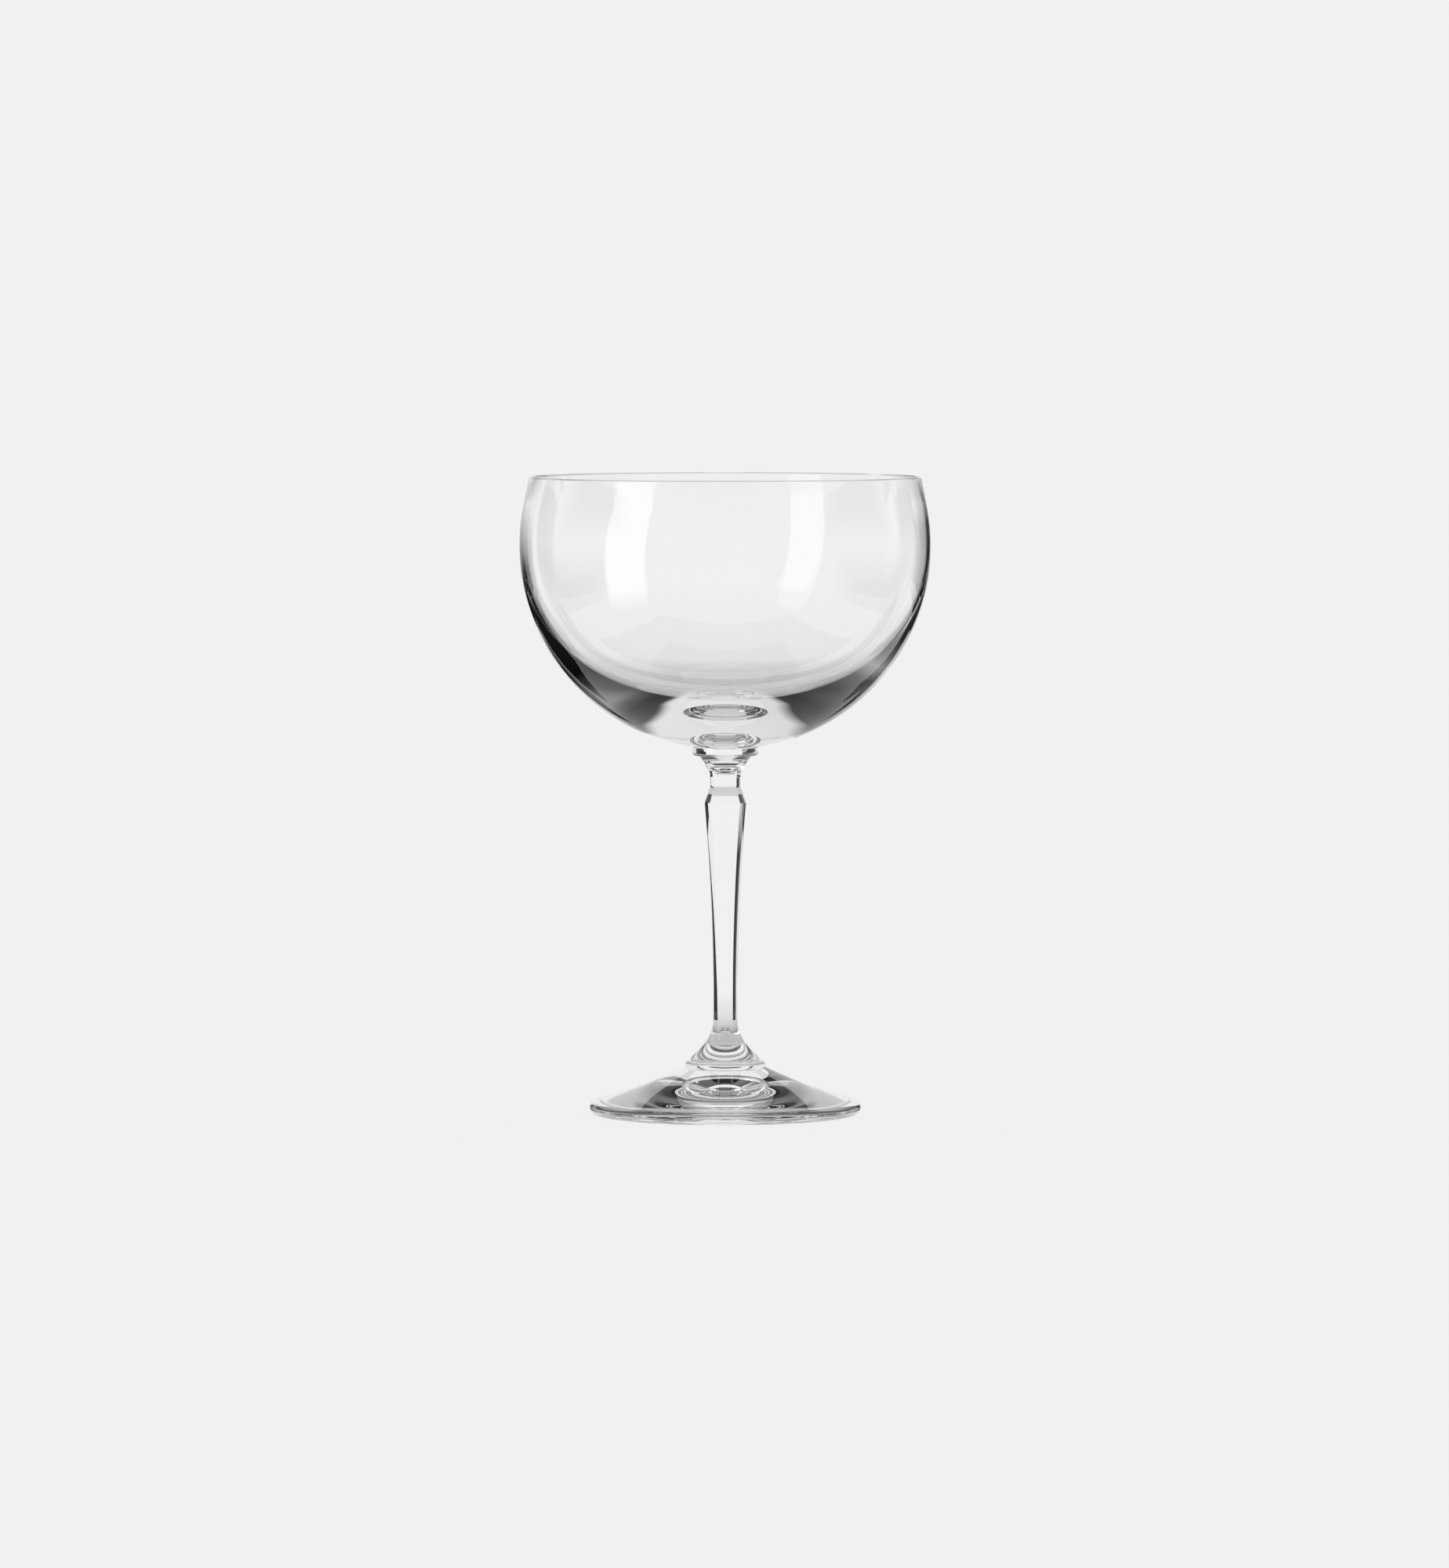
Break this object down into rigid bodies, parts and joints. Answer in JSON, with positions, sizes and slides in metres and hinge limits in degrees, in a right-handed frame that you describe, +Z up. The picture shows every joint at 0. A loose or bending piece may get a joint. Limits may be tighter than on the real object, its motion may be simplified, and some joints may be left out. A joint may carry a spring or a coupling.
{
  "type": "coupe glass",
  "caption": "Stemmed coupe glass of clear glass: a deep round bowl on a short faceted stem with a knop, with collars and a sloping round foot.",
  "frame": {"origin": "on the table, on the axis of the glass", "axes": "+Z up along the axis of the glass; a broad flat of the stem faces -Y"},
  "size_m": [0.099, 0.099, 0.1535],
  "materials": {
    "pressed_glass": "fire-polished, clear, colourless",
    "blown_glass": "polished, clear, colourless"
  },
  "bodies": {
    "root": {"foot": "pressed_glass", "lower_collar": "pressed_glass", "stem": "pressed_glass", "upper_collar": "pressed_glass", "bowl": "blown_glass"}
  },
  "joints": []
}
